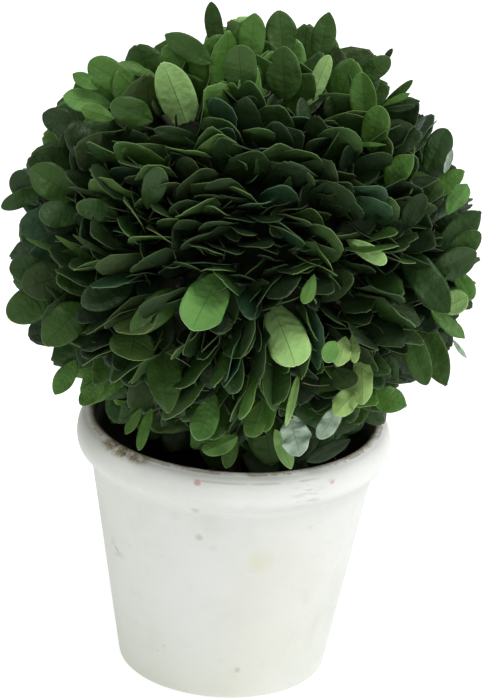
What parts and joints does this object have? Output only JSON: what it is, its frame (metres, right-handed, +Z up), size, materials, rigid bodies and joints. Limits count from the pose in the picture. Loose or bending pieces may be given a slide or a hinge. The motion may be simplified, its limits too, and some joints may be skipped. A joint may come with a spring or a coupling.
{
  "type": "box topiary ball",
  "caption": "Clipped ball of preserved box leaves on a short hidden stem, standing in a small whitewashed clay pot with a rounded rim band.",
  "frame": {"origin": "middle of the flat underside of the pot, on the surface it stands on", "axes": "+Z up along the pot's axis, -Y towards the side that the picture shows, +X to that side's right"},
  "size_m": [0.1508, 0.1461, 0.2135],
  "materials": {
    "whitewashed_clay": "matt, uneven lime wash over fired clay, with grey-green and cream blotches and brown stains inside the rim",
    "dark_filling": "matt dark crumbs and fibres",
    "stem_bark": "matt grey-brown bark",
    "box_leaves": "satin deep green upper sides, matt paler undersides, thin pale edges"
  },
  "bodies": {
    "root": {"pot": "whitewashed_clay", "planting_filling": "dark_filling", "stem": "stem_bark", "leaf_ball": "box_leaves"}
  },
  "joints": []
}
